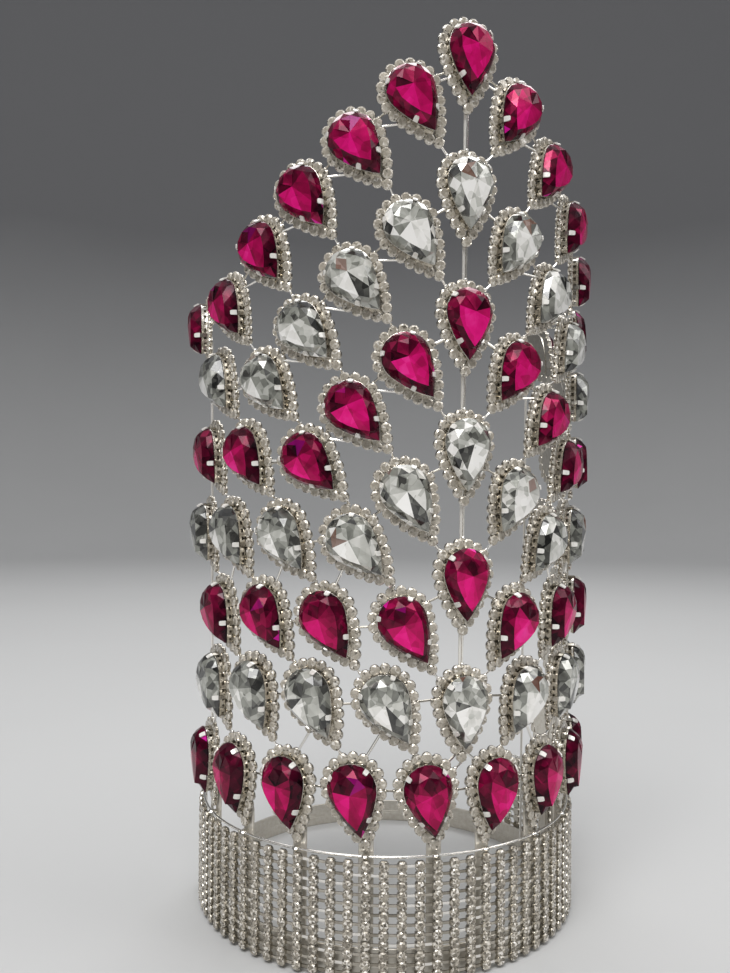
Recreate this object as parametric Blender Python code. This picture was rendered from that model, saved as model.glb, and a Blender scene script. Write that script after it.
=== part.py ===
"""A tall pageant crown, standing on its base hoop.

The front faces -Y and +Z is up. Lengths are in millimetres until the last step.
The ring's axis stands a little behind the origin, which is under the middle of the whole crown.
"""

import math

import bmesh
import bpy
from mathutils import Matrix, Vector

MM = 0.001
AXIS_Y = 6.91  # the ring's axis, so that the crown's box is centred on the origin

HOOP_INNER = 83.3
HOOP_OUTER = 84.3
HOOP_HEIGHT = 11.5
HOOP_SIDES = 60

POST_WIDTH = 6.0
POST_TOP = 59.0

BAND_INNER = 84.6
BAND_OUTER = 89.9
BAND_BOTTOM = 1.2
BAND_TOP = 47.4
BAND_END = 109.6
BAND_COLUMNS = 48
COLUMN_SHARE = 0.55
RAIL = 1.4

RIM_RADIUS = 86.9
RIM_Z = 48.5
RIM_WIRE = 0.8

SETTING_BACK = 84.6
SETTING_SLOPE = 0.01
SLOPE_FROM = 75.0
HALO_DEPTH = 2.2
GIRDLE_DEPTH = 4.9
TABLE_DEPTH = 10.6
STEM_DEPTH = 1.1

UPRIGHT_WIRE = 0.7
SIDE_WIRE_ANGLE = 98.0
SIDE_WIRE_TOP = 262.0

FREE_GAP = 0.35

# Each row from its middle outwards: angle from the front, height and lean, in degrees and millimetres.
# A lean turns the point towards the front. Every drop but a middle one has its mirror image.
ROWS = {
    "drops_row_1": [(9.8, 75.4, 9), (29, 75.4, 12), (48, 75.4, 12), (67.5, 75.4, 14), (87, 75.4, 14)],
    "drops_row_2": [(0, 109.3, 0), (21, 110.5, 30), (41, 111.5, 29), (60, 111.5, 29), (79.5, 110.5, 32)],
    "drops_row_3": [(0, 159.6, 0), (16.7, 141, 32), (37, 142.5, 33), (56, 143.5, 37), (76, 142, 38)],
    "drops_row_4": [
        (0, 211, 0), (16.3, 192.2, 30), (30, 173, 43), (50, 175.3, 39), (70, 176, 36), (88.5, 176, 37),
    ],
    "drops_row_5": [
        (0, 262.7, 0), (16.3, 244, 35), (30.5, 225.2, 42), (42.5, 205.3, 46), (63, 208.7, 40), (83, 210, 38),
    ],
    "drops_row_6": [
        (0, 314.4, 0), (16, 295.7, 34), (30.5, 276.8, 40), (44, 257.7, 44), (56, 238, 44), (77, 241.5, 41),
    ],
    "drops_row_7": [
        (0, 367.5, 0), (15.6, 348.8, 31), (30, 330.2, 37), (44, 311.8, 36), (57, 292.5, 37),
        (71, 272.5, 38), (95, 269, 38),
    ],
}
MAGENTA_ROWS = ("drops_row_1", "drops_row_3", "drops_row_5", "drops_row_7")


def pear(half_width, length, drop):
    """Twelve points round a pear whose round end is centred drop below the setting's centre, point down."""
    corner = math.radians(-20)
    side = [
        (half_width * math.cos(math.radians(a)), half_width * math.sin(math.radians(a)))
        for a in (53, 16, -20)
    ]
    foot = (half_width * math.cos(corner), half_width * math.sin(corner))
    tip = (0.0, half_width - length)
    bulge = 0.035 * length
    for share in (0.36, 0.7):
        x = foot[0] + (tip[0] - foot[0]) * share
        y = foot[1] + (tip[1] - foot[1]) * share
        out = bulge * 4 * share * (1 - share)
        side.append((x + out * 0.85, y - out * 0.5))
    right = [(x, y - drop) for x, y in side]
    left = [(-x, y) for x, y in reversed(right)]
    return [(0.0, half_width - drop)] + right + [(0.0, tip[1] - drop)] + left


# The outlines of a drop from its back to its table, each with its depth.
DROP_LAYERS = [
    (pear(13.5, 38.8, 0.0), 0.0),
    (pear(13.5, 38.8, 0.0), HALO_DEPTH),
    (pear(10.4, 30.0, 0.5), HALO_DEPTH),
    (pear(9.8, 28.8, 0.5), GIRDLE_DEPTH),
    (pear(5.6, 17.5, 1.6), TABLE_DEPTH),
]


def back_radius(height):
    return SETTING_BACK + SETTING_SLOPE * (height - SLOPE_FROM)


def around(radius, degrees, height):
    """A point at this radius from the ring's axis, at degrees from the front."""
    turn = math.radians(degrees)
    return Vector((radius * math.sin(turn), AXIS_Y - radius * math.cos(turn), height))


def drop_frame(degrees, height, lean):
    """Matrix from a drop's own axes, right, up and outward, to the crown's."""
    turn = math.radians(degrees)
    tilt = math.radians(-lean if degrees > 0 else lean)
    out = Vector((math.sin(turn), -math.cos(turn), 0))
    along = Vector((math.cos(turn), math.sin(turn), 0))
    up = Vector((0, 0, 1))
    right = along * math.cos(tilt) + up * math.sin(tilt)
    upward = up * math.cos(tilt) - along * math.sin(tilt)
    place = around(back_radius(height), degrees, height)
    rows = [(right[i], upward[i], out[i], place[i]) for i in range(3)]
    return Matrix(rows + [(0, 0, 0, 1)])


def placed(row):
    """The frames of all drops in a row, from the far left to the far right."""
    found = []
    for degrees, height, lean in ROWS[row]:
        found.append((degrees, height, lean))
        if degrees:
            found.append((-degrees, height, lean))
    return [drop_frame(*item) for item in sorted(found)]


def mesh_object(name, bm):
    bmesh.ops.recalc_face_normals(bm, faces=bm.faces)
    mesh = bpy.data.meshes.new(name)
    bm.to_mesh(mesh)
    bm.free()
    obj = bpy.data.objects.new(name, mesh)
    bpy.context.scene.collection.objects.link(obj)
    return obj


def loft(bm, rings):
    """A closed solid through rings of equally many points."""
    layers = [[bm.verts.new(p) for p in ring] for ring in rings]
    count = len(layers[0])
    for low, high in zip(layers, layers[1:]):
        for i in range(count):
            j = (i + 1) % count
            bm.faces.new((low[i], low[j], high[j], high[i]))
    bm.faces.new(list(reversed(layers[0])))
    bm.faces.new(layers[-1])


def bar(bm, start, end, half, toward=Vector((0, 0, 1))):
    """A square bar from start to end, half thick each way."""
    along = (end - start).normalized()
    if abs(along.dot(toward)) > 0.9:
        toward = Vector((0.3, 1, 0))
    side = along.cross(toward).normalized() * half
    lift = side.cross(along).normalized() * half
    corners = [side + lift, lift - side, -side - lift, side - lift]
    loft(bm, [[start + c for c in corners], [end + c for c in corners]])


def block(bm, degrees, inner, outer, width, low, high):
    """A flat upright block that faces outwards."""
    turn = math.radians(degrees)
    along = Vector((math.cos(turn), math.sin(turn), 0)) * width / 2
    rings = []
    for radius in (inner, outer):
        middle_low = around(radius, degrees, low)
        middle_high = around(radius, degrees, high)
        rings.append([middle_low - along, middle_low + along, middle_high + along, middle_high - along])
    loft(bm, rings)


def join(target, other):
    """Fuses other into target."""
    fuse = target.modifiers.new("fuse", "BOOLEAN")
    fuse.operation = "UNION"
    fuse.solver = "EXACT"
    fuse.use_self = True
    fuse.object = other
    graph = bpy.context.evaluated_depsgraph_get()
    mesh = bpy.data.meshes.new_from_object(target.evaluated_get(graph))
    target.modifiers.clear()
    target.data = mesh
    bpy.data.objects.remove(other)


def outline_at(frame, depth):
    return [frame @ Vector((x, y, depth)) for x, y in DROP_LAYERS[0][0]]


def nearest_on(a, b, point):
    """The point of the segment from a to b that is nearest to point."""
    step = b - a
    share = max(0.0, min(1.0, (point - a).dot(step) / step.length_squared))
    return a + step * share


def closest(first, second):
    """The nearest points of two closed outlines."""
    best = None
    for one, two, swap in ((first, second, False), (second, first, True)):
        for point in one:
            for i, start in enumerate(two):
                other = nearest_on(start, two[(i + 1) % len(two)], point)
                gap = (other - point).length
                if best is None or gap < best[0]:
                    best = (gap, other, point) if swap else (gap, point, other)
    return best


def drops(row):
    bm = bmesh.new()
    for frame in placed(row):
        loft(bm, [[frame @ Vector((x, y, depth)) for x, y in ring] for ring, depth in DROP_LAYERS])
    return mesh_object(row, bm)


def links(row):
    """Short bars between neighbouring drops of one row."""
    bm = bmesh.new()
    frames = placed(row)
    for first, second in zip(frames, frames[1:]):
        gap, start, end = closest(outline_at(first, STEM_DEPTH), outline_at(second, STEM_DEPTH))
        inward_first = (first @ Vector((0, -4, STEM_DEPTH)) - start).normalized()
        inward_second = (second @ Vector((0, -4, STEM_DEPTH)) - end).normalized()
        bar(bm, start + inward_first * 2.2, end + inward_second * 2.2, 0.75)
    return mesh_object("links", bm)


def stubs(row, below):
    """Short bars from the points of a row's drops down to the row below, which they stop just short of."""
    bm = bmesh.new()
    lower = [outline_at(frame, STEM_DEPTH) for frame in placed(below)]
    for frame in placed(row):
        tip = frame @ Vector((0, DROP_LAYERS[0][0][6][1], STEM_DEPTH))
        gap, start, end = min((closest([tip, tip + Vector((0, 0, 0.01))], ring) for ring in lower), key=lambda f: f[0])
        if gap < 1.2 or gap > 16:
            continue
        way = (end - tip).normalized()
        root = frame @ Vector((0, DROP_LAYERS[0][0][6][1] + 3.0, STEM_DEPTH))
        bar(bm, root, tip + way * (gap - FREE_GAP - 0.4), 0.6)
    return mesh_object("stubs", bm)


def band():
    """A wall of upright columns joined by three level rails."""
    bm = bmesh.new()
    pitch = 2 * BAND_END / (BAND_COLUMNS - 1 + COLUMN_SHARE)
    edges = []
    for i in range(BAND_COLUMNS):
        start = -BAND_END + i * pitch
        edges += [start, start + COLUMN_SHARE * pitch]
    middle = (BAND_BOTTOM + BAND_TOP) / 2
    heights = [
        BAND_BOTTOM, BAND_BOTTOM + RAIL, middle - RAIL / 2, middle + RAIL / 2, BAND_TOP - RAIL, BAND_TOP,
    ]
    points = [
        [[bm.verts.new(around(radius, a, z)) for z in heights] for a in edges]
        for radius in (BAND_INNER, BAND_OUTER)
    ]

    def solid(i, j):
        inside = 0 <= i < len(edges) - 1 and 0 <= j < len(heights) - 1
        return inside and (i % 2 == 0 or j % 2 == 0)

    for i in range(len(edges) - 1):
        for j in range(len(heights) - 1):
            if not solid(i, j):
                continue
            corners = [(i, j), (i + 1, j), (i + 1, j + 1), (i, j + 1)]
            for side in points:
                bm.faces.new([side[a][b] for a, b in corners])
            beyond = [(i, j - 1), (i + 1, j), (i, j + 1), (i - 1, j)]
            for k in range(4):
                if solid(*beyond[k]):
                    continue
                a = corners[k]
                b = corners[(k + 1) % 4]
                ends = (points[0][a[0]][a[1]], points[0][b[0]][b[1]])
                bm.faces.new((*ends, points[1][b[0]][b[1]], points[1][a[0]][a[1]]))
    return mesh_object("rhinestone_band", bm)


def hoop():
    """The flat strip that the crown stands on, a full circle."""
    bm = bmesh.new()
    corners = [(HOOP_INNER, 0), (HOOP_OUTER, 0), (HOOP_OUTER, HOOP_HEIGHT), (HOOP_INNER, HOOP_HEIGHT)]
    rings = []
    for i in range(HOOP_SIDES):
        rings.append([bm.verts.new(around(r, i * 360 / HOOP_SIDES, z)) for r, z in corners])
    for i in range(HOOP_SIDES):
        for k in range(4):
            here = rings[i]
            there = rings[(i + 1) % HOOP_SIDES]
            bm.faces.new((here[k], here[(k + 1) % 4], there[(k + 1) % 4], there[k]))
    return mesh_object("hoop_frame", bm)


def post_angles():
    found = []
    for degrees, height, lean in ROWS["drops_row_1"]:
        shift = 24 * math.sin(math.radians(lean)) / SETTING_BACK
        found += [degrees - math.degrees(shift), math.degrees(shift) - degrees]
    return found


def posts():
    """Upright strips behind the band, and the short bridges that hold the rim wire."""
    bm = bmesh.new()
    for degrees in post_angles():
        block(bm, degrees, HOOP_INNER, HOOP_OUTER, POST_WIDTH, HOOP_HEIGHT / 2, POST_TOP)
    return mesh_object("posts", bm)


def bridges():
    bm = bmesh.new()
    for degrees in post_angles():
        block(bm, degrees, HOOP_INNER + 0.4, RIM_RADIUS, 2.0, RIM_Z - 0.55, RIM_Z + 0.55)
    return mesh_object("bridges", bm)


def rim():
    """The round wire along the band's upper edge."""
    bm = bmesh.new()
    rings = []
    steps = 40
    for i in range(steps + 1):
        degrees = -BAND_END + 2 * BAND_END * i / steps
        ring = []
        for k in range(6):
            turn = math.radians(60 * k)
            radius = RIM_RADIUS + RIM_WIRE * math.cos(turn)
            ring.append(around(radius, degrees, RIM_Z + RIM_WIRE * math.sin(turn)))
        rings.append(ring)
    loft(bm, rings)
    return mesh_object("rim", bm)


def upright(bm, degrees, low, high):
    """A wire that leans outwards with the backs of the settings."""
    rings = []
    for height in (low, high):
        middle = back_radius(height) - FREE_GAP - UPRIGHT_WIRE
        ring = []
        for k in range(8):
            turn = math.radians(45 * k)
            place = around(middle + UPRIGHT_WIRE * math.cos(turn), degrees, height)
            along = math.radians(degrees)
            shift = UPRIGHT_WIRE * math.sin(turn)
            ring.append(place + Vector((math.cos(along), math.sin(along), 0)) * shift)
        rings.append(ring)
    loft(bm, rings)


def side_wires():
    bm = bmesh.new()
    for degrees in (-SIDE_WIRE_ANGLE, SIDE_WIRE_ANGLE):
        upright(bm, degrees, HOOP_HEIGHT / 2, SIDE_WIRE_TOP)
    return mesh_object("side_wires", bm)


def centre_wire():
    bm = bmesh.new()
    upright(bm, 0, 90, 372)
    return mesh_object("centre_wire", bm)


def material(name, colour, metallic, roughness):
    made = bpy.data.materials.new(name)
    made.use_nodes = True
    shader = made.node_tree.nodes["Principled BSDF"]
    shader.inputs["Base Color"].default_value = (*colour, 1)
    shader.inputs["Metallic"].default_value = metallic
    shader.inputs["Roughness"].default_value = roughness
    return made


def build():
    metal = material("silver_metal", (0.78, 0.77, 0.74), 1.0, 0.25)
    magenta = material("magenta_glass", (0.6, 0.02, 0.25), 0.0, 0.1)
    clear = material("clear_glass", (0.8, 0.82, 0.82), 0.0, 0.1)
    band_stones = material("band_stones", (0.8, 0.79, 0.75), 0.6, 0.2)

    frame = hoop()
    for part in (posts(), side_wires(), rim(), bridges()):
        join(frame, part)
    frame.data.materials.clear()
    frame.data.materials.append(metal)

    wire = centre_wire()
    wire.data.materials.append(metal)

    wall = band()
    wall.data.materials.append(band_stones)

    names = list(ROWS)
    for index, row in enumerate(names):
        node = drops(row)
        join(node, links(row))
        if index:
            join(node, stubs(row, names[index - 1]))
        node.data.materials.clear()
        node.data.materials.append(magenta if row in MAGENTA_ROWS else clear)


def to_metres():
    for obj in bpy.context.scene.collection.objects:
        obj.data.transform(Matrix.Scale(MM, 4))


for old in list(bpy.data.objects):
    bpy.data.objects.remove(old)
build()
to_metres()
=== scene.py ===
"""The looks of the pageant crown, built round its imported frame.

The front faces -Y and +Z is up. Lengths are in millimetres until a mesh is made.
"""

import math

import bpy
import numpy as np
from mathutils import Matrix, Vector


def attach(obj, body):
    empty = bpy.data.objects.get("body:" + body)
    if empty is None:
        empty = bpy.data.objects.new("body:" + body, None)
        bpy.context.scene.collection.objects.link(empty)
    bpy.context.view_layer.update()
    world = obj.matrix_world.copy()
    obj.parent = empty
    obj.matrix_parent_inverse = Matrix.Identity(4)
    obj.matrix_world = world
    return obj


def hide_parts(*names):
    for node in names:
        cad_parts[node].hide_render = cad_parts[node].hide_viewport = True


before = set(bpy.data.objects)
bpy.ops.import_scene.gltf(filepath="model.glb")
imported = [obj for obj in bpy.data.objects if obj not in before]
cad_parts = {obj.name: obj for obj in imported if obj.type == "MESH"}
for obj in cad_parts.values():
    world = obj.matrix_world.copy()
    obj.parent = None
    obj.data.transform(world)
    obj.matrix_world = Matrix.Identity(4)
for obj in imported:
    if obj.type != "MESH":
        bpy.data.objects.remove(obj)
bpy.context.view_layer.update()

MM = 0.001
SMOOTH_ANGLE = 40  # edges of metal that are sharper than this stay sharp
RANDOM = np.random.default_rng(7)

# The photograph's camera. The focal length is in pixels.
CAMERA_PLACE = (-0.1509, -0.3913, 0.1884)
CAMERA_AHEAD = (0.3308, 0.9435, 0.0144)
CAMERA_ROLL = 0.41
FOCAL_LENGTH = 862.3
PHOTO_WIDTH = 730
SENSOR_WIDTH = 36.0

# The ring, as in the part's source.
AXIS_Y = 6.91
HOOP_INNER = 83.3
HOOP_OUTER = 84.3
HOOP_HEIGHT = 11.5
POST_WIDTH = 6.0
POST_TOP = 59.0
POINT_REACH = 24.0  # from a drop's middle down to where its post meets it
BAND_BOTTOM = 1.2
BAND_TOP = 47.4
BAND_END = 109.6
BAND_COLUMNS = 48
COLUMN_SHARE = 0.55
RIM_RADIUS = 86.9
RIM_Z = 48.5
RIM_WIRE = 0.55
STAY_WIRE = 0.7
STAY_SOLDER = 1.15
SETTING_BACK = 84.6
SETTING_SLOPE = 0.01
SLOPE_FROM = 75.0
STEM_DEPTH = 1.1
UPRIGHT_WIRE = 0.65
SIDE_WIRE_ANGLE = 98.0
SIDE_WIRE_TOP = 262.0
CENTRE_WIRE_FOOT = 90.0
CENTRE_WIRE_TOP = 372.0
FREE_GAP = 0.35

# The groove round the hoop.
GROOVE_LOW = 4.7
GROOVE_HIGH = 5.5
GROOVE_DEPTH = 0.45
GROOVE_OVERLAP = 0.3

# The rods between drops: their radius, how far they reach into a halo, and how long they may be.
TIE_WIRE = 0.45
TIE_GRIP = 1.2
LEVEL_TIE_GRIP = 1.5
TIE_SOLDER = 0.75
DOWN_TIE_SHORTEST = 1.2
DOWN_TIE_LONGEST = 16.0
SIDE_TIE_SHORTEST = 2.5
SIDE_TIE_LONGEST = 9.0
SECOND_TIE_SHORTEST = 1.5
SECOND_TIE_LONGEST = 8.0

# Where a second tie may hold a drop, as shares of its outline.
LEFT_SHOULDER = (0.12, 0.25)
LEFT_FLANK = (0.30, 0.40)
RIGHT_FLANK = (0.60, 0.70)
RIGHT_SHOULDER = (0.75, 0.88)

# The drops, measured from the backs of their settings.
HALO_HALF_WIDTH = 13.5
HALO_LENGTH = 38.8
HALO_STONES = 21
HALO_WOBBLE = 2.5
CUP_RADIUS = 2.2
CUP_RIM = 1.6
GIRDLE_DEPTH = 4.9
GEM_HALF_WIDTH = 9.9
GEM_LENGTH = 28.8
GEM_DROP = 0.3
OUTLINE_POINTS = 24
EDGE_POINTS = 24
RING_POINTS = 12
CROWN_OUTLINE = (8.8, 25.7)  # half width and length
TABLE_OUTLINE = (6.9, 20.8)
TABLE_DEPTH = 10.5
POINT_END = -9.0
TOP_END = 4.0
PRONG_SHARES = (0.115, 0.885, 0.385, 0.615)

# Shades run from 0, black, to 1. Each small stone's facets vary round its usual shade.
HALO_SHADE = 0.66
HALO_SPREAD = 0.06
HALO_CUP_SHADE = 0.78
BAND_SHADE = 0.52
BAND_SPREAD = 0.16
# Painted light on each small stone's crown facets and painted shade on its table.
CROWN_PAINTED_LIGHT = 0.08
TABLE_PAINTED_SHADE = -0.07

# The pear stones get painted shade towards the sides and in the low rows. At the sides, the half that is
# nearer the front gets painted shade and the outer half painted light.
SIDE_PAINTED_SHADE = 0.16
INNER_SHADOW = 0.37
OUTER_LIGHT = 0.14
LOW_PAINTED_SHADE = 0.13
LOW_DROPS = 75.0
HIGH_DROPS = 200.0

# The band's cups, the strips behind them and the links between them.
BAND_ROWS = 12
BAND_WOBBLE = 3.0
BAND_CUP_RADIUS = 2.0
BAND_CUP_BACK = 86.9
STRIP_HALF = 1.4
STRIP_NEAR = 0.35
STRIP_FAR = 1.3
STRIP_MARGIN = 0.8
LINK_HEIGHT = 1.1
LINK_NEAR = 0.5
LINK_FAR = 1.0

# Each row from its middle outwards: angle from the front, height and lean. Angles are in degrees.
# Every drop but a middle one has its mirror image.
ROWS = {
    "drops_row_1": [
        (9.8, 75.4, 9), (29, 75.4, 12), (48, 75.4, 12), (67.5, 75.4, 14), (87, 75.4, 14),
    ],
    "drops_row_2": [
        (0, 109.3, 0), (21, 110.5, 30), (41, 111.5, 29), (60, 111.5, 29), (79.5, 110.5, 32),
    ],
    "drops_row_3": [
        (0, 159.6, 0), (16.7, 141, 32), (37, 142.5, 33), (56, 143.5, 37), (76, 142, 38),
    ],
    "drops_row_4": [
        (0, 211, 0), (16.3, 192.2, 30), (30, 173, 43), (50, 175.3, 39), (70, 176, 36),
        (88.5, 176, 37),
    ],
    "drops_row_5": [
        (0, 262.7, 0), (16.3, 244, 35), (30.5, 225.2, 42), (42.5, 205.3, 46), (63, 208.7, 40),
        (83, 210, 38),
    ],
    "drops_row_6": [
        (0, 314.4, 0), (16, 295.7, 34), (30.5, 276.8, 40), (44, 257.7, 44), (56, 238, 44),
        (77, 241.5, 41),
    ],
    "drops_row_7": [
        (0, 367.5, 0), (15.6, 348.8, 31), (30, 330.2, 37), (44, 311.8, 36), (57, 292.5, 37),
        (71, 272.5, 38), (95, 269, 38),
    ],
}
MAGENTA_ROWS = ("drops_row_1", "drops_row_3", "drops_row_5", "drops_row_7")
SIDE_TIED_ROWS = ("drops_row_2", "drops_row_4")
TWICE_TIED_ROWS = ("drops_row_5", "drops_row_6", "drops_row_7")


class Shape:
    """Points, faces, and one shade and one tint for each face, in millimetres."""

    def __init__(self):
        self.points = []
        self.faces = []
        self.shades = []
        self.tints = []
        self.count = 0

    def add(self, points, faces, shades, tints=0.0):
        points = np.asarray(points, float)
        start = self.count
        self.points.append(points)
        self.faces += [tuple(start + i for i in face) for face in faces]
        self.shades += np.broadcast_to(shades, len(faces)).tolist()
        self.tints += np.broadcast_to(tints, len(faces)).tolist()
        self.count += len(points)

    def merge(self, other, matrix, shades=None, tints=None):
        m = np.array(matrix)
        points = np.concatenate(other.points) @ m[:3, :3].T + m[:3, 3]
        shades = other.shades if shades is None else shades
        self.add(points, other.faces, shades, other.tints if tints is None else tints)

    def made(self, name, material, smooth=None):
        """The finished object, in metres, with its shades and tints in a colour attribute."""
        mesh = bpy.data.meshes.new(name)
        mesh.from_pydata((np.concatenate(self.points) * MM).tolist(), [], self.faces)
        values = np.zeros((len(mesh.loops), 4), np.float32)
        lengths = [len(face) for face in self.faces]
        values[:, 0] = np.repeat(np.array(self.shades, np.float32), lengths)
        values[:, 1] = np.repeat(np.array(self.tints, np.float32), lengths)
        values[:, 3] = 1
        layer = mesh.color_attributes.new("shade", "FLOAT_COLOR", "CORNER")
        layer.data.foreach_set("color", values.ravel())
        if smooth is not None:
            mesh.shade_smooth()
            mesh.set_sharp_from_angle(angle=math.radians(smooth))
        mesh.materials.append(material)
        obj = bpy.data.objects.new(name, mesh)
        bpy.context.scene.collection.objects.link(obj)
        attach(obj, "root")
        return obj


def loft(shape, rings, end=True, shade=1.0, tint=0.0):
    """A skin through rings of equally many points, each anticlockwise seen from its end."""
    count = len(rings[0])
    points = np.concatenate([np.asarray(ring, float) for ring in rings])
    faces = []
    for k in range(len(rings) - 1):
        for i in range(count):
            j = (i + 1) % count
            faces.append((k * count + i, k * count + j, (k + 1) * count + j, (k + 1) * count + i))
    faces.append(tuple(range(count - 1, -1, -1)))
    if end:
        faces.append(tuple((len(rings) - 1) * count + i for i in range(count)))
    shape.add(points, faces, shade, tint)


def circle(radius, depth, count, turn=0.0):
    angles = [2 * math.pi * (i + turn) / count for i in range(count)]
    return [(radius * math.cos(a), radius * math.sin(a), depth) for a in angles]


def wire(shape, route, radius, sides=8, shade=1.0, tint=0.0):
    """A round wire along a route of points."""
    route = [Vector(p) for p in route]
    rings = []
    side = None
    for i, point in enumerate(route):
        along = (route[min(i + 1, len(route) - 1)] - route[max(i - 1, 0)]).normalized()
        if side is None:
            reference = Vector((0, 0, 1)) if abs(along.z) < 0.8 else Vector((1, 0, 0))
            side = along.cross(reference).normalized()
        side = (side - along * side.dot(along)).normalized()
        lift = along.cross(side)
        turns = [2 * math.pi * k / sides for k in range(sides)]
        rings.append([point + side * radius * math.cos(t) + lift * radius * math.sin(t) for t in turns])
    loft(shape, rings, shade=shade, tint=tint)


def blob(shape, centre, radius, squeeze=Vector((1, 1, 1)), shade=1.0):
    """A small lump of solder."""
    sides = 8
    rings = []
    for level in (-0.92, -0.55, 0.0, 0.55, 0.92):
        wide = radius * math.sqrt(1 - level * level)
        rings.append([centre + Vector(p) * squeeze for p in circle(wide, level * radius, sides)])
    loft(shape, rings, shade=shade)


def back_radius(height):
    return SETTING_BACK + SETTING_SLOPE * (height - SLOPE_FROM)


def around(radius, degrees, height):
    """A point at this radius from the ring's axis, at degrees from the front."""
    turn = math.radians(degrees)
    return Vector((radius * math.sin(turn), AXIS_Y - radius * math.cos(turn), height))


def drop_frame(degrees, height, lean):
    """Matrix from a drop's own axes, right, up and outward, to the crown's."""
    turn = math.radians(degrees)
    tilt = math.radians(-lean if degrees > 0 else lean)
    out = Vector((math.sin(turn), -math.cos(turn), 0))
    along = Vector((math.cos(turn), math.sin(turn), 0))
    up = Vector((0, 0, 1))
    right = along * math.cos(tilt) + up * math.sin(tilt)
    upward = up * math.cos(tilt) - along * math.sin(tilt)
    place = around(back_radius(height), degrees, height)
    rows = [(right[i], upward[i], out[i], place[i]) for i in range(3)]
    return Matrix(rows + [(0, 0, 0, 1)])


def placed(row):
    """The frames of all drops in a row, from the far left to the far right."""
    found = []
    for degrees, height, lean in ROWS[row]:
        found.append((degrees, height, lean))
        if degrees:
            found.append((-degrees, height, lean))
    return [drop_frame(*item) for item in sorted(found)]


def pear(half_width, length, drop, shares):
    """Points at shares of a pear's outline, anticlockwise from the top. A half is the point."""
    arc = np.radians(np.linspace(90, 200, 60))
    half = [(half_width * math.cos(a), half_width * math.sin(a)) for a in arc]
    foot = np.array(half[-1])
    tip = np.array((0.0, half_width - length))
    bulge = 0.035 * length
    for share in np.linspace(0, 1, 60)[1:]:
        out = bulge * 4 * share * (1 - share)
        half.append(foot + (tip - foot) * share + np.array((-0.85, -0.5)) * out)
    half = np.array(half)
    whole = np.concatenate([half, half[-2::-1] * (-1, 1)])
    steps = np.hypot(*np.diff(whole, axis=0).T)
    run = np.concatenate([[0], np.cumsum(steps)]) / steps.sum()
    shares = np.mod(shares, 1.0)
    x = np.interp(shares, run, whole[:, 0])
    y = np.interp(shares, run, whole[:, 1]) - drop
    return np.stack([x, y], axis=1)


def pear_ring(half_width, length, drop, depth, count):
    outline = pear(half_width, length, drop, np.arange(count) / count)
    return [(x, y, depth) for x, y in outline]


def squared(ring, power):
    """The ring drawn out towards a square: a power of 2 leaves it round."""
    found = []
    for x, y, depth in ring:
        size = math.hypot(x, y)
        stretch = (abs(x / size) ** power + abs(y / size) ** power) ** (-1 / power)
        found.append((x * stretch, y * stretch, depth))
    return found


def chaton_cup(radius, rim, height, power=2):
    """A cup with four small prongs, standing on its back."""
    cup = Shape()
    sides = 12
    levels = [(0.9, 0.0), (1.0, 0.3), (1.0, rim * 0.8), (0.96, rim), (0.88, rim * 0.98)]
    wall = [squared(circle(radius * share, depth, sides), power) for share, depth in levels]
    loft(cup, wall, end=False)
    for k in range(4):
        turn = math.radians(45 + 90 * k)
        out = Vector((math.cos(turn), math.sin(turn), 0))
        side = Vector((-out.y, out.x, 0)) * radius * 0.11
        sections = [
            (radius * 1.0, rim * 0.7, 0.12),
            (radius * 0.99, rim + 0.12, 0.12),
            (radius * 0.82, height - 0.22, 0.08),
        ]
        rings = []
        for distance, depth, thick in sections:
            outer = out * distance + Vector((0, 0, depth))
            inner = out * (distance - thick * 1.4) + Vector((0, 0, depth - thick))
            rings.append([outer - side, outer + side, inner + side, inner - side])
        loft(cup, rings)
    return cup


def chaton_stone(radius, girdle, height):
    """A round foiled stone: a table whose painted facets stand for those under it, and twenty crown
    facets, lighter than the table as a painted ring of light.
    """
    stone = Shape()
    sides = 10
    outer = circle(radius, girdle, sides)
    foot = circle(radius, girdle - 0.35, sides)
    table = circle(radius * 0.7, height, sides, 0.5)
    middle = (0.0, 0.0, height + 0.03)
    points = [*foot, *outer, *table, middle]
    faces = []
    for i in range(sides):
        j = (i + 1) % sides
        faces.append((i, j, sides + j, sides + i))
        faces.append((sides + i, sides + j, 2 * sides + i))
        faces.append((sides + j, 2 * sides + j, 2 * sides + i))
        faces.append((2 * sides + i, 2 * sides + j, 3 * sides))
    stone.add(points, faces, [0.0, CROWN_PAINTED_LIGHT, CROWN_PAINTED_LIGHT, TABLE_PAINTED_SHADE] * sides)
    return stone


def foil_shades(stone, usual, spread):
    """Shades of one small stone's facets: mostly silvery, a few dark and a few bright."""
    count = len(stone.faces)
    shades = RANDOM.normal(usual, spread, count) + stone.shades
    dark = RANDOM.random(count) < spread
    bright = RANDOM.random(count) < spread
    shades[dark] = RANDOM.uniform(0.12, 0.32, dark.sum())
    shades[bright] = RANDOM.uniform(0.85, 1.0, bright.sum())
    return np.clip(shades, 0.05, 1.0)


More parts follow.
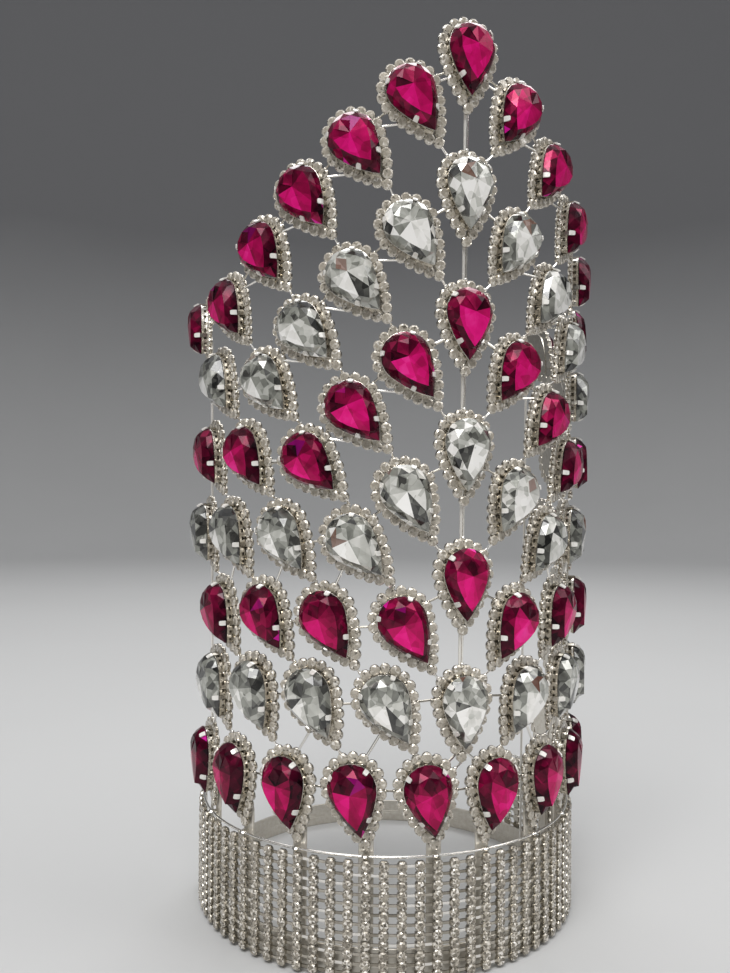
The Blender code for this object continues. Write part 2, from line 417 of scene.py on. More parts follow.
def gem():
    """A pear stone, and what each facet is.

    The edge has a girdle, a rim and a crown. The table shows the kite and the long facets of the back,
    as painted reflections.
    """
    stone = Shape()
    girdle = pear(GEM_HALF_WIDTH, GEM_LENGTH, GEM_DROP, np.arange(EDGE_POINTS) / EDGE_POINTS)
    crown = pear(*CROWN_OUTLINE, GEM_DROP + 0.2, (np.arange(RING_POINTS) + 0.5) / RING_POINTS)
    table = pear(*TABLE_OUTLINE, GEM_DROP + 0.5, np.arange(RING_POINTS) / RING_POINTS)
    layers = [
        (girdle, GIRDLE_DEPTH - 0.2), (girdle, GIRDLE_DEPTH + 0.3),
        (crown, GIRDLE_DEPTH + 2.6), (table, TABLE_DEPTH - 0.9),
    ]
    points = [(x, y, depth) for outline, depth in layers for x, y in outline]
    points.append((0.0, -1.0, TABLE_DEPTH))
    points += [(x, 2.8, TABLE_DEPTH - 0.2) for x in (-2.7, 2.7)]
    edge = EDGE_POINTS
    bend = edge + EDGE_POINTS
    top = bend + RING_POINTS
    culet = top + RING_POINTS
    left = culet + 1
    right = culet + 2
    found = []
    for i in range(EDGE_POINTS):
        j = (i + 1) % EDGE_POINTS
        found.append(("girdle", (i, j, edge + j, edge + i)))
    for k in range(RING_POINTS):
        n = (k + 1) % RING_POINTS
        here = edge + 2 * k
        after = edge + 2 * n
        found.append(("rim", (here, here + 1, bend + k)))
        found.append(("rim", (here + 1, after, bend + k)))
        found.append(("crown", (bend + k, after, bend + n, top + n)))
        found.append(("crown", (bend + k, top + n, top + k)))
    found += [
        ("kite", (culet, right, top, left)),
        ("upper_left", (left, top, top + 1)),
        ("upper_left", (culet, left, top + 1, top + 2)),
        ("side_left", (culet, top + 2, top + 3)),
        ("lower_left", (culet, top + 3, top + 4, top + 5)),
        ("lower_middle", (culet, top + 5, top + 6, top + 7)),
        ("lower_right", (culet, top + 7, top + 8, top + 9)),
        ("side_right", (culet, top + 9, top + 10)),
        ("upper_right", (culet, top + 10, top + 11, right)),
        ("upper_right", (right, top + 11, top)),
    ]
    stone.add(points, [face for role, face in found], 0.5)
    return stone, [role for role, face in found]


def facet_middles(shape):
    """How far across and how high the middle of each facet lies."""
    points = np.concatenate(shape.points)
    return np.array([points[list(face), :2].mean(axis=0) for face in shape.faces]).T


def magenta_facets(roles, heights):
    """Shades and tints of painted reflections: bright long lower facets, a dark edge, and a few violet
    painted glints.
    """
    lit = RANDOM.uniform(0.68, 0.82)
    usual = {
        "girdle": 0.12, "rim": 0.2, "crown": 0.28, "kite": RANDOM.choice((0.18, 0.32, 0.42)),
        "upper_left": 0.37, "upper_right": 0.32, "side_left": lit - 0.10, "side_right": lit - 0.24,
        "lower_left": lit, "lower_middle": lit - 0.06, "lower_right": lit - 0.17,
    }
    if RANDOM.random() < 0.5:
        usual[str(RANDOM.choice(("upper_left", "upper_right")))] = 0.14
    if RANDOM.random() < 0.3:
        usual["lower_right"] = lit + 0.04
    shades = np.array([usual[role] for role in roles]) + RANDOM.normal(0, 0.035, len(roles))
    crown = np.isin(roles, ("rim", "crown"))
    shades[crown & (heights < POINT_END)] -= 0.08
    chance = RANDOM.random(len(roles))
    shades[crown & (chance < 0.16)] += 0.18
    # Painted glints: a few rim facets made bright and violet.
    painted_glint = np.isin(roles, ("rim",)) & (chance > 0.96)
    shades[painted_glint] = 0.8
    tints = painted_glint * 0.6
    # Painted violet glints on an upper or side facet at the right.
    violet = np.isin(roles, (str(RANDOM.choice(("upper_right", "side_right"))),))
    if RANDOM.random() < 0.4:
        tints[violet & (chance < 0.7)] = RANDOM.uniform(0.12, 0.3)
    return np.clip(shades, 0.02, 1.0), tints


def crystal_facets(roles, heights):
    """Shades and tints of painted reflections: a bright arrow down to the point, grey above, fragments
    round the edge.
    """
    lit = RANDOM.uniform(0.90, 1.02)
    usual = {
        "girdle": 0.40, "rim": 0.45, "crown": 0.48, "kite": RANDOM.choice((0.40, 0.62, 0.80)),
        "upper_left": 0.60, "upper_right": 0.54, "side_left": 0.74, "side_right": 0.62,
        "lower_left": lit, "lower_middle": lit - 0.12, "lower_right": lit - 0.04,
    }
    other = str(RANDOM.choice(("lower_left", "lower_right", "lower_middle", "side_left")))
    if RANDOM.random() < 0.55:
        usual[other] = RANDOM.uniform(0.10, 0.30)
    if RANDOM.random() < 0.35:
        usual[str(RANDOM.choice(("upper_left", "upper_right")))] = RANDOM.choice((0.2, 0.85))
    shades = np.array([usual[role] for role in roles]) + RANDOM.normal(0, 0.04, len(roles))
    crown = np.isin(roles, ("rim", "crown"))
    chance = RANDOM.random(len(roles))
    shades[crown & (chance < 0.20)] = RANDOM.uniform(0.08, 0.28)
    shades[crown & (chance > 0.82)] = RANDOM.uniform(0.80, 1.0)
    # Brown painted reflections: sometimes the kite or an upper facet, and a few crown facets near the
    # top.
    warm = np.zeros(len(roles))
    if RANDOM.random() < 0.4:
        warm[np.isin(roles, (str(RANDOM.choice(("kite", "upper_left", "upper_right"))),))] = 0.75
    warm[crown & (heights > TOP_END) & (chance > 0.5) & (chance < 0.56)] = 0.6
    return np.clip(shades, 0.03, 1.0), warm


def pear_cup():
    """The raised cup of the pear stone on its plate, with a row of small holes round its wall. The holes
    and the plate are painted darker than the wall, as painted shade.
    """
    cup = Shape()
    count = 44
    pierced = 5
    # Half width, length and depth of each level. The pierced level's faces are holes by turns.
    levels = [
        (8.7, 26.2, 0.0), (9.0, 26.8, 0.35), (12.2, 35.6, 0.4), (12.2, 35.6, 0.8),
        (9.5, 27.8, 0.85), (9.55, 27.9, 2.5), (9.7, 28.25, 3.7), (9.75, 28.35, 4.15),
        (9.92, 28.8, 4.4), (9.97, 28.95, 4.75), (9.85, 28.65, 4.8), (9.6, 28.1, 4.75),
    ]
    rings = [pear_ring(width, length, GEM_DROP, depth, count) for width, length, depth in levels]
    points = np.concatenate([np.array(ring) for ring in rings])
    faces = [tuple(range(count - 1, -1, -1))]
    shades = [0.75]
    for k in range(len(rings) - 1):
        for i in range(count):
            j = (i + 1) % count
            quad = [k * count + i, k * count + j, (k + 1) * count + j, (k + 1) * count + i]
            hole = k == pierced and i % 2 == 0
            if not hole:
                faces.append(tuple(quad))
                # Painted shade on the plate under the halo stones: it is darker than the wall above.
                shades.append(0.7 if k < pierced - 1 else 0.88)
                continue
            corners = points[quad]
            middle = corners.mean(axis=0)
            inward = np.array((-middle[0], -middle[1], 0.0))
            inward /= np.linalg.norm(inward)
            sunk = middle + (corners - middle) * 0.75 + inward * 0.7
            start = len(points)
            points = np.concatenate([points, sunk])
            inner = [start + n for n in range(4)]
            faces.append(tuple(inner))
            # Painted shade in the holes: the sunk face darkest, their sides darker than the wall.
            shades.append(0.3)
            for n in range(4):
                m = (n + 1) % 4
                faces.append((quad[n], quad[m], inner[m], inner[n]))
                shades.append(0.5)
    cup.add(points, faces, shades)
    return cup


def prong(shape, share):
    """A flat strip that rises beside the wall in painted shade, and its end that bends over the stone's
    edge, painted white as a painted highlight.
    """
    step = 0.004
    shares = np.array([share - step, share, share + step])
    before, here, after = pear(GEM_HALF_WIDTH, GEM_LENGTH, GEM_DROP, shares)
    along = Vector((*(after - before), 0)).normalized()
    out = Vector((along.y, -along.x, 0))
    base = Vector((*here, 0))
    # How far out, how deep and half how wide each section is.
    stem = [(0.15, 1.8, 0.9), (0.2, 4.6, 0.9), (0.15, 5.2, 0.9)]
    head = [(0.2, 5.5, 1.0), (0.1, 6.1, 1.0), (-0.3, 6.8, 1.0), (-0.75, 7.5, 0.95), (-1.0, 7.9, 0.7)]
    # The stem gets painted shade; the head is painted white and less of a mirror, a painted highlight.
    for sections, shade, tint in ((stem, 0.6, 0.0), (head, 1.0, 1.0)):
        rings = []
        for offset, depth, half in sections:
            lean = Vector((out.x * 0.45, out.y * 0.45, 0.3)) if depth > 5.5 else out * 0.45
            outer = base + out * offset + Vector((0, 0, depth)) + lean * 0.5
            inner = outer - lean
            wide = along * half
            rings.append([inner - wide, inner + wide, outer + wide, outer - wide])
        loft(shape, rings, shade=shade, tint=tint)


def halo_places():
    """Where the round stones of a drop's halo stand: the first at the point."""
    shares = 0.5 + np.arange(HALO_STONES) / HALO_STONES
    return pear(HALO_HALF_WIDTH - CUP_RADIUS, HALO_LENGTH - 2 * CUP_RADIUS, 0.0, shares)


def spun(x, y, depth, wobble):
    """A small stone's frame on its drop: turned at random, and a little out of true."""
    turn = Matrix.Rotation(RANDOM.uniform(0, 2 * math.pi), 4, "Z")
    lean = Matrix.Rotation(math.radians(RANDOM.normal(0, wobble)), 4, "X")
    return Matrix.Translation((x, y, depth)) @ lean @ turn


def nearest_on(a, b, point):
    step = b - a
    share = max(0.0, min(1.0, (point - a).dot(step) / step.length_squared))
    return a + step * share


def closest(first, second):
    """The nearest points of two closed outlines."""
    best = None
    for one, two, swap in ((first, second, False), (second, first, True)):
        for point in one:
            for i, start in enumerate(two):
                other = nearest_on(start, two[(i + 1) % len(two)], point)
                gap = (other - point).length
                if best is None or gap < best[0]:
                    best = (gap, other, point) if swap else (gap, point, other)
    return best


def outline_at(place, depth):
    ring = pear(HALO_HALF_WIDTH, HALO_LENGTH, 0.0, np.arange(OUTLINE_POINTS) / OUTLINE_POINTS)
    return [place @ Vector((x, y, depth)) for x, y in ring]


def ties(shape, row, below):
    """Short soldered wires between neighbouring drops, and from their points to the row below."""
    frames = placed(row)
    for first, second in zip(frames, frames[1:]):
        gap, start, end = closest(outline_at(first, STEM_DEPTH), outline_at(second, STEM_DEPTH))
        way = (end - start).normalized() if gap > 0.05 else Vector((0, 0, 1))
        wire(shape, [start - way * LEVEL_TIE_GRIP, end + way * LEVEL_TIE_GRIP], TIE_WIRE, shade=0.6)
        blob(shape, start - way * 0.6, TIE_SOLDER, shade=0.7)
        blob(shape, end + way * 0.6, TIE_SOLDER, shade=0.7)
        if row in TWICE_TIED_ROWS:
            second_tie(shape, first, second)
    if below is None:
        return
    lower = [outline_at(place, STEM_DEPTH) for place in placed(below)]
    tip_y = HALO_HALF_WIDTH - HALO_LENGTH
    for place in frames:
        tip = place @ Vector((0, tip_y, STEM_DEPTH))
        pair = [tip, tip + Vector((0, 0, 0.01))]
        gap, start, end = min((closest(pair, ring) for ring in lower), key=lambda found: found[0])
        if gap < DOWN_TIE_SHORTEST or gap > DOWN_TIE_LONGEST:
            continue
        way = (end - tip).normalized()
        root = place @ Vector((0, tip_y + 1.5, STEM_DEPTH))
        wire(shape, [root, tip, end + way], TIE_WIRE)
        blob(shape, end, 0.8)
    if row in SIDE_TIED_ROWS:
        side_ties(shape, frames, lower)


def rod(shape, start, end, radius):
    """A straight wire that reaches a little way into what it joins."""
    way = (end - start).normalized()
    wire(shape, [start - way * TIE_GRIP, end + way * TIE_GRIP], radius)


def stretch_of(place, low, high):
    """Points along a part of a drop's outline, between two shares of it."""
    ring = pear(HALO_HALF_WIDTH, HALO_LENGTH, 0.0, np.linspace(low, high, 8))
    return [place @ Vector((x, y, STEM_DEPTH)) for x, y in ring]


def second_tie(shape, first, second):
    """A rod from the higher drop's lower side to the lower drop's shoulder."""
    if first.translation.z > second.translation.z:
        starts = stretch_of(first, *RIGHT_FLANK)
        ends = stretch_of(second, *LEFT_SHOULDER)
    else:
        starts = stretch_of(second, *LEFT_FLANK)
        ends = stretch_of(first, *RIGHT_SHOULDER)
    pairs = [(start, end) for start in starts for end in ends]
    start, end = min(pairs, key=lambda pair: (pair[0] - pair[1]).length)
    if SECOND_TIE_SHORTEST < (end - start).length < SECOND_TIE_LONGEST:
        rod(shape, start, end, TIE_WIRE)


def side_ties(shape, frames, lower):
    """Straight wires from the lower sides of a row's drops to the drops below."""
    for place in frames:
        ring = outline_at(place, STEM_DEPTH)
        for other in lower:
            gap, start, end = closest(ring, other)
            if SIDE_TIE_SHORTEST < gap < SIDE_TIE_LONGEST:
                rod(shape, start, end, TIE_WIRE * 1.2)


def build_row(row, below):
    """One row's settings, halo stones and pear stones."""
    settings = Shape()
    halo = Shape()
    pears = Shape()
    cup = chaton_cup(CUP_RADIUS, CUP_RIM, 2.2)
    small = chaton_stone(CUP_RADIUS * 0.97, 1.65, 2.1)
    setting = pear_cup()
    for share in PRONG_SHARES:
        prong(setting, share)
    stone, roles = gem()
    across, heights = facet_middles(stone)
    places = halo_places()
    magenta = row in MAGENTA_ROWS
    facets = magenta_facets if magenta else crystal_facets
    for place in placed(row):
        settings.merge(setting, place)
        for x, y in places:
            own = place @ spun(x, y, 0.1, HALO_WOBBLE)
            settings.merge(cup, own, HALO_CUP_SHADE)
            halo.merge(small, own, foil_shades(small, HALO_SHADE, HALO_SPREAD))
        shades, tints = facets(roles, heights)
        # Painted shade and light on the pear stone's facets, set by where the drop stands.
        turned = place[0][2]
        painted_shade = 1 - SIDE_PAINTED_SHADE * turned ** 2
        painted_shade *= np.interp(place[2][3], (LOW_DROPS, HIGH_DROPS), (1 - LOW_PAINTED_SHADE, 1.0))
        inner = 1 - INNER_SHADOW * abs(turned)
        outer = 1 + OUTER_LIGHT * abs(turned)
        painted_halves = np.where(across * turned < 0, inner, outer)
        pears.merge(stone, place, shades * painted_shade * painted_halves, tints)
    ties(settings, row, below)
    number = row[-1]
    metal = settings.made("settings_" + number, MATERIALS["silver_metal"], SMOOTH_ANGLE)
    stones = halo.made("halo_stones_" + number, MATERIALS["small_stones"])
    glass = "magenta_glass" if magenta else "clear_glass"
    gems = pears.made("pear_stones_" + number, MATERIALS[glass])
    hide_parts(row)


def column_angles():
    pitch = 2 * BAND_END / (BAND_COLUMNS - 1 + COLUMN_SHARE)
    return [-BAND_END + (i + COLUMN_SHARE / 2) * pitch for i in range(BAND_COLUMNS)]


def ring_frame(degrees, radius, height):
    """Axes right, up and outward at a point of the ring."""
    turn = math.radians(degrees)
    out = Vector((math.sin(turn), -math.cos(turn), 0))
    along = Vector((math.cos(turn), math.sin(turn), 0))
    place = around(radius, degrees, height)
    rows = [(along[i], (0, 0, 1)[i], out[i], place[i]) for i in range(3)]
    return Matrix(rows + [(0, 0, 0, 1)])


def build_band():
    """Upright chains of round stones, joined at every stone by a thin level link."""
    metal = Shape()
    stones = Shape()
    cup = chaton_cup(BAND_CUP_RADIUS, 1.9, 2.4, 5)
    stone = chaton_stone(BAND_CUP_RADIUS * 0.99, 1.95, 2.45)
    pitch = (BAND_TOP - BAND_BOTTOM - 2 * BAND_CUP_RADIUS) / (BAND_ROWS - 1)
    heights = [BAND_BOTTOM + BAND_CUP_RADIUS + pitch * j for j in range(BAND_ROWS)]
    angles = column_angles()
    step = angles[1] - angles[0]
    for i, degrees in enumerate(angles):
        for height in heights:
            own = ring_frame(degrees, BAND_CUP_BACK, height)
            metal.merge(cup, own, RANDOM.uniform(0.55, 0.75))
            leaning = own @ spun(0, 0, 0, BAND_WOBBLE)
            stones.merge(stone, leaning, foil_shades(stone, BAND_SHADE, BAND_SPREAD))
        backing(metal, degrees, BAND_BOTTOM + STRIP_MARGIN, BAND_TOP - STRIP_MARGIN)
        if i + 1 == len(angles):
            continue
        for height in heights:
            shade = RANDOM.choice((0.45, 0.55, 0.65, 1.0))
            link(metal, degrees, degrees + step, height, shade)
    settings = metal.made("band_settings", MATERIALS["silver_metal"], SMOOTH_ANGLE)
    gems = stones.made("band_stones", MATERIALS["small_stones"])
    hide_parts("rhinestone_band")


def backing(shape, degrees, low, high):
    """The flat strip that a column's cups stand on."""
    ring = ring_frame(degrees, BAND_CUP_BACK, 0.0)
    half = STRIP_HALF
    section = [(-half, STRIP_NEAR), (half, STRIP_NEAR), (half, STRIP_FAR), (-half, STRIP_FAR)]
    rings = [[ring @ Vector((x, z, depth)) for x, depth in reversed(section)] for z in (low, high)]
    loft(shape, rings, shade=0.62)


def link(shape, start, end, height, shade):
    """A flat level link between two stones' cups."""
    low = height - LINK_HEIGHT / 2
    high = height + LINK_HEIGHT / 2
    near = BAND_CUP_BACK + LINK_NEAR
    far = BAND_CUP_BACK + LINK_FAR
    corners = [(near, low), (far, low), (far, high), (near, high)]
    rings = []
    for degrees in (start, (start + end) / 2, end):
        rings.append([around(radius, degrees, z) for radius, z in corners])
    loft(shape, rings, shade=shade)


def post_angles():
    """Where the posts stand: under the points of the lowest row's drops, which lean."""
    found = []
    for degrees, height, lean in ROWS["drops_row_1"]:
        shift = math.degrees(POINT_REACH * math.sin(math.radians(lean)) / SETTING_BACK)
        found += [degrees - shift, shift - degrees]
    return found


def hoop_strip(shape, low, high, outer):
    """A flat strip with softened edges, right round the ring."""
    soft = 0.25
    section = [
        (HOOP_INNER, low + soft), (HOOP_INNER + soft, low), (outer - soft, low), (outer, low + soft),
        (outer, high - soft), (outer - soft, high), (HOOP_INNER + soft, high), (HOOP_INNER, high - soft),
    ]
    sides = 120
    points = [around(r, i * 360 / sides, z) for i in range(sides) for r, z in section]
    faces = []
    count = len(section)
    for i in range(sides):
        j = (i + 1) % sides
        for k in range(count):
            n = (k + 1) % count
            faces.append((i * count + k, j * count + k, j * count + n, i * count + n))
    shape.add(points, faces, 0.76, 0.8)


def post(shape, degrees):
    """A flat upright strip with softened edges, from the hoop to the lowest drops."""
    half = POST_WIDTH / 2
    soft = 0.2
    outline = [
        (-half, HOOP_INNER + 0.1), (half, HOOP_INNER + 0.1),
        (half, HOOP_OUTER - soft), (half - soft, HOOP_OUTER - 0.02), (soft - half, HOOP_OUTER - 0.02),
        (-half, HOOP_OUTER - soft),
    ]
    turn = math.radians(degrees)
    along = Vector((math.cos(turn), math.sin(turn), 0))
    rings = []
    for height in (HOOP_HEIGHT / 2, POST_TOP - 1.2, POST_TOP):
        narrow = 0.82 if height == POST_TOP else 1.0
        rings.append([around(r, degrees, height) + along * x * narrow for x, r in outline])
    loft(shape, [list(reversed(ring)) for ring in rings], shade=0.82, tint=0.8)


def build_frame():
    """The hoop, its posts, the rim wire and the two side wires."""
    metal = Shape()
    hoop_strip(metal, 0.0, GROOVE_LOW, HOOP_OUTER)
    hoop_strip(metal, GROOVE_HIGH, HOOP_HEIGHT, HOOP_OUTER)
    low = GROOVE_LOW - GROOVE_OVERLAP
    high = GROOVE_HIGH + GROOVE_OVERLAP
    hoop_strip(metal, low, high, HOOP_OUTER - GROOVE_DEPTH)
    for degrees in post_angles():
        post(metal, degrees)
        outer_end = around(RIM_RADIUS, degrees, RIM_Z)
        wire(metal, [around(HOOP_OUTER, degrees, RIM_Z), outer_end], STAY_WIRE)
        blob(metal, outer_end, STAY_SOLDER, Vector((1.5, 1.5, 0.9)))
    steps = 96
    route = [around(RIM_RADIUS, -BAND_END + 2 * BAND_END * i / steps, RIM_Z) for i in range(steps + 1)]
    wire(metal, route, RIM_WIRE, sides=10)
    for degrees in (-SIDE_WIRE_ANGLE, SIDE_WIRE_ANGLE):
        upright(metal, degrees, HOOP_HEIGHT / 2, SIDE_WIRE_TOP)
    piece = metal.made("frame_metal", MATERIALS["silver_metal"], SMOOTH_ANGLE)
    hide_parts("hoop_frame")


def upright(shape, degrees, low, high):
    heights = np.linspace(low, high, 12)
    route = [around(back_radius(z) - FREE_GAP - UPRIGHT_WIRE, degrees, z) for z in heights]
    wire(shape, route, UPRIGHT_WIRE, sides=12, tint=0.6)


def build_centre_wire():
    metal = Shape()
    upright(metal, 0, CENTRE_WIRE_FOOT, CENTRE_WIRE_TOP)
    piece = metal.made("middle_wire", MATERIALS["silver_metal"], SMOOTH_ANGLE)
    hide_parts("centre_wire")


def new_material(name):
    made = bpy.data.materials.new(name)
    made.use_nodes = True
    tree = made.node_tree
    return made, tree, tree.nodes["Principled BSDF"]


def feed(tree, socket, value):
    """Sets an input to a value, or joins it to another node's output."""
    if isinstance(value, bpy.types.NodeSocket):
        tree.links.new(value, socket)
    else:
        socket.default_value = value


def fill(tree, node, **inputs):
    for name, value in inputs.items():
        feed(tree, node.inputs[name.replace("_", " ")], value)


def linked(tree, kind, **inputs):
    """A new node with some of its inputs filled."""
    node = tree.nodes.new(kind)
    fill(tree, node, **inputs)
    return node


def ramp(tree, source, stops):
    node = tree.nodes.new("ShaderNodeValToRGB")
    tree.links.new(source, node.inputs["Fac"])
    elements = node.color_ramp.elements
    while len(elements) < len(stops):
        elements.new(0.5)
    for element, (place, colour) in zip(elements, stops):
        element.position = place
        element.color = (*colour, 1)
    return node.outputs["Color"]


def object_noise(tree, scale, detail=2.0):
    where = tree.nodes.new("ShaderNodeTexCoord")
    node = linked(tree, "ShaderNodeTexNoise", Vector=where.outputs["Object"], Scale=scale, Detail=detail)
    return node.outputs["Fac"]


def maths(tree, operation, first, second):
    node = tree.nodes.new("ShaderNodeMath")
    node.operation = operation
    for socket, value in zip(node.inputs, (first, second)):
        feed(tree, socket, value)
    return node.outputs[0]


def shade_and_tint(tree, noise_scale, noise_share):
    """The facet's own shade, with a soft change inside each facet, and its tint."""
    node = tree.nodes.new("ShaderNodeVertexColor")
    node.layer_name = "shade"
    split = linked(tree, "ShaderNodeSeparateColor", Color=node.outputs["Color"])
    noise = object_noise(tree, noise_scale)
    shift = maths(tree, "MULTIPLY", maths(tree, "SUBTRACT", noise, 0.5), noise_share)
    return maths(tree, "ADD", split.outputs["Red"], shift), split.outputs["Green"]


def fragments(tree, scale, share):
    """A shift of shade for each of the small straight-edged cells that a cut stone shows."""
    where = tree.nodes.new("ShaderNodeTexCoord")
    cells = linked(tree, "ShaderNodeTexVoronoi", Vector=where.outputs["Object"], Scale=scale)
    split = linked(tree, "ShaderNodeSeparateColor", Color=cells.outputs["Color"])
    return maths(tree, "MULTIPLY", maths(tree, "SUBTRACT", split.outputs["Red"], 0.5), share)


def tinted(tree, colour, tint, other):
    """The colour, turned towards another where the tint is high."""
    node = tree.nodes.new("ShaderNodeMix")
    node.data_type = "RGBA"
    share, first, second = node.inputs[0], node.inputs[6], node.inputs[7]
    tree.links.new(tint, share)
    tree.links.new(colour, first)
    second.default_value = (*other, 1)
    return node.outputs[2]


def silver_metal():
    """Bright plate. A high tint makes it less of a mirror."""
    made, tree, shader = new_material("silver_metal")
    shade, tint = shade_and_tint(tree, 500.0, 0.25)
    colour = ramp(tree, shade, [
        (0.0, (0.02, 0.018, 0.015)), (0.45, (0.31, 0.284, 0.235)), (0.85, (0.74, 0.70, 0.625)),
        (1.0, (0.94, 0.915, 0.865)),
    ])
    smears = object_noise(tree, 420.0, 4.0)
    rough = linked(tree, "ShaderNodeMapRange", Value=smears, To_Min=0.14, To_Max=0.30)
    polish = maths(tree, "SUBTRACT", 1.0, maths(tree, "MULTIPLY", tint, 0.75))
    grain = object_noise(tree, 600.0, 3.0)
    bump = linked(tree, "ShaderNodeBump", Height=grain, Strength=0.06, Distance=0.0002)
    fill(
        tree, shader, Base_Color=colour, Roughness=rough.outputs["Result"], Metallic=polish,
        Normal=bump.outputs["Normal"],
    )
    return made


def small_stones():
    """Foiled clear stones of the halos and the band."""
    made, tree, shader = new_material("small_stones")
    shade = shade_and_tint(tree, 1400.0, 0.25)[0]
    colour = ramp(tree, shade, [
        (0.0, (0.05, 0.043, 0.032)), (0.3, (0.20, 0.177, 0.14)), (0.6, (0.44, 0.397, 0.326)),
        (0.85, (0.71, 0.662, 0.58)), (1.0, (0.97, 0.93, 0.865)),
    ])
    fill(
        tree, shader, Base_Color=colour, Metallic=0.25, Roughness=0.25,
        Coat_Weight=0.5, Coat_Roughness=0.03, Coat_IOR=1.6,
    )
    return made


def magenta_glass():
    """Foiled magenta glass. A high tint makes it violet, for painted glints."""
    made, tree, shader = new_material("magenta_glass")
    shade, tint = shade_and_tint(tree, 170.0, 0.36)
    shade = maths(tree, "ADD", shade, fragments(tree, 260.0, 0.17))
    colour = ramp(tree, shade, [
        (0.0, (0.008, 0.0004, 0.003)), (0.2, (0.08, 0.002, 0.016)), (0.4, (0.28, 0.004, 0.052)),
        (0.6, (0.58, 0.006, 0.125)), (0.8, (0.86, 0.010, 0.235)), (1.0, (1.0, 0.06, 0.40)),
    ])
    colour = tinted(tree, colour, tint, (0.72, 0.01, 0.42))
    fill(
        tree, shader, Base_Color=colour, Metallic=0.3, Roughness=0.2, Specular_IOR_Level=0.1,
        Coat_Weight=0.2, Coat_Roughness=0.015, Coat_IOR=1.5,
    )
    return made


def clear_glass():
    """Foiled clear glass. A high tint makes it brown, as where it mirrors something warm."""
    made, tree, shader = new_material("clear_glass")
    shade, tint = shade_and_tint(tree, 190.0, 0.3)
    shade = maths(tree, "ADD", shade, fragments(tree, 330.0, 0.36))
    colour = ramp(tree, shade, [
        (0.0, (0.010, 0.010, 0.009)), (0.2, (0.06, 0.059, 0.053)), (0.45, (0.29, 0.294, 0.258)),
        (0.65, (0.56, 0.557, 0.51)), (0.85, (0.88, 0.86, 0.815)), (1.0, (1.0, 0.98, 0.945)),
    ])
    colour = tinted(tree, colour, tint, (0.17, 0.055, 0.028))
    fill(
        tree, shader, Base_Color=colour, Metallic=0.2, Roughness=0.15,
        Coat_Weight=0.8, Coat_Roughness=0.015, Coat_IOR=1.55,
    )
    return made


def studio_paper():
    """Pale on the floor, darker up the backdrop."""
    made, tree, shader = new_material("studio_paper")
    where = tree.nodes.new("ShaderNodeTexCoord")
    place = linked(tree, "ShaderNodeSeparateXYZ", Vector=where.outputs["Object"])
    rise = linked(tree, "ShaderNodeMapRange", Value=place.outputs["Z"], From_Max=1.5)
    mottle = maths(tree, "MULTIPLY", object_noise(tree, 3.0), 0.06)
    colour = ramp(tree, maths(tree, "ADD", rise.outputs["Result"], mottle), [
        (0.0, (0.56, 0.56, 0.555)), (0.1, (0.52, 0.52, 0.515)), (1.0, (0.19, 0.19, 0.195)),
    ])
    fill(tree, shader, Base_Color=colour, Roughness=0.8)
    return made


def build_stage():
    """A pale round floor that curves up on all sides, in metres."""
    flat = 2.4
    bend = 1.4
    high = 3.2
    sides = 96
    steps = 12
    profile = [(flat, 0.0)]
    for k in range(1, steps + 1):
        turn = math.radians(90 * k / steps)
        profile.append((flat + bend * math.sin(turn), bend - bend * math.cos(turn)))
    profile.append((flat + bend, high))
    points = []
    for radius, height in profile:
        points += circle(radius, height, sides)
    faces = [tuple(range(sides))]
    for k in range(len(profile) - 1):
        for i in range(sides):
            j = (i + 1) % sides
            faces.append((k * sides + i, (k + 1) * sides + i, (k + 1) * sides + j, k * sides + j))
    mesh = bpy.data.meshes.new("studio_floor")
    mesh.from_pydata(points, [], faces)
    mesh.shade_smooth()
    mesh.materials.append(studio_paper())
    floor = bpy.data.objects.new("studio_floor", mesh)
    bpy.context.scene.collection.objects.link(floor)


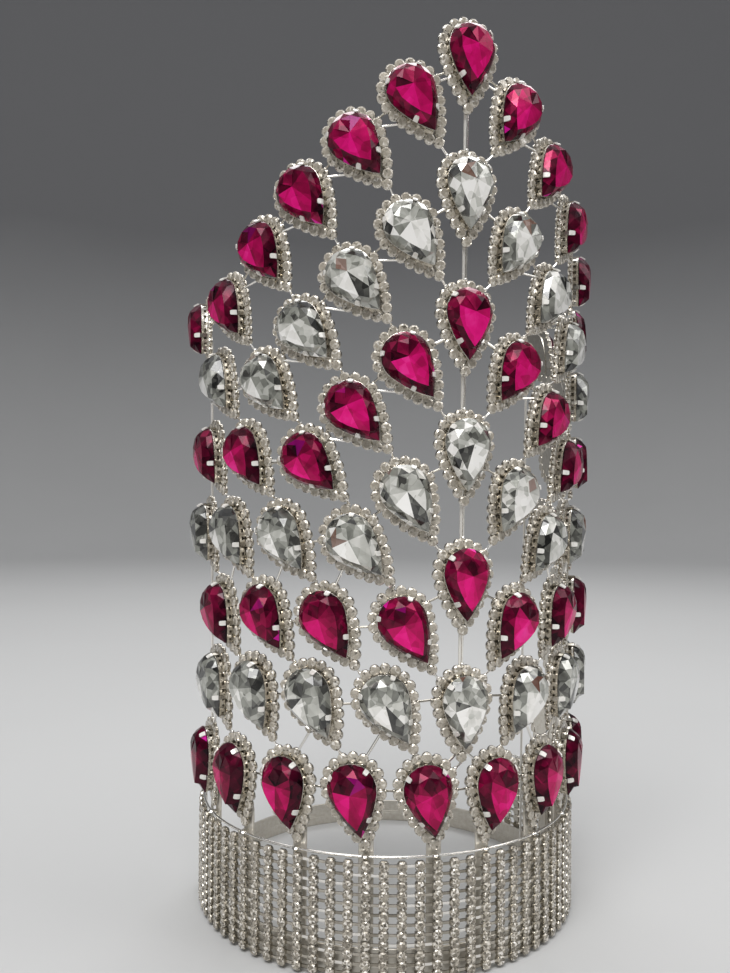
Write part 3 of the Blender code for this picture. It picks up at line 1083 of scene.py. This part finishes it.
def softbox(name, place, target, width, height, power):
    light = bpy.data.lights.new(name, "AREA")
    light.shape = "RECTANGLE"
    light.size = width
    light.size_y = height
    light.energy = power
    obj = bpy.data.objects.new(name, light)
    obj.location = place
    obj.rotation_euler = (Vector(target) - Vector(place)).to_track_quat("-Z", "Y").to_euler()
    bpy.context.scene.collection.objects.link(obj)


def build_lights():
    middle = (0.0, 0.0, 0.19)
    softbox("key_light", (-0.9, -1.3, 2.3), middle, 1.5, 1.5, 50.0)
    softbox("fill_light", (1.5, -1.0, 1.9), middle, 1.4, 1.2, 15.0)
    softbox("back_light", (0.4, 1.0, 1.6), middle, 1.4, 0.6, 8.0)
    softbox("glint_light", (-0.5, -0.9, 1.2), middle, 0.25, 0.25, 2.0)
    world = bpy.data.worlds.new("studio_air")
    world.use_nodes = True
    air = world.node_tree.nodes["Background"]
    air.inputs["Color"].default_value = (0.96, 0.97, 1.0, 1)
    air.inputs["Strength"].default_value = 0.55
    bpy.context.scene.world = world


def build_camera():
    """At the photograph's place: left of the front, about half way up the crown."""
    place = Vector(CAMERA_PLACE)
    ahead = Vector(CAMERA_AHEAD).normalized()
    roll = math.radians(CAMERA_ROLL)
    level = ahead.cross(Vector((0, 0, 1))).normalized()
    lift = level.cross(ahead)
    right = level * math.cos(roll) + lift * math.sin(roll)
    up = right.cross(ahead)
    data = bpy.data.cameras.new("photo_camera")
    data.sensor_fit = "HORIZONTAL"
    data.sensor_width = SENSOR_WIDTH
    data.lens = SENSOR_WIDTH * FOCAL_LENGTH / PHOTO_WIDTH
    data.clip_start = 0.01
    camera = bpy.data.objects.new("photo_camera", data)
    rows = [(right[i], up[i], -ahead[i], place[i]) for i in range(3)]
    camera.matrix_world = Matrix(rows + [(0, 0, 0, 1)])
    bpy.context.scene.collection.objects.link(camera)
    bpy.context.scene.camera = camera


MATERIALS = {
    "silver_metal": silver_metal(),
    "small_stones": small_stones(),
    "magenta_glass": magenta_glass(),
    "clear_glass": clear_glass(),
}

names = list(ROWS)
for index, row_name in enumerate(names):
    build_row(row_name, names[index - 1] if index else None)
build_band()
build_frame()
build_centre_wire()
build_stage()
build_lights()
build_camera()
bpy.context.scene.view_settings.view_transform = "Standard"
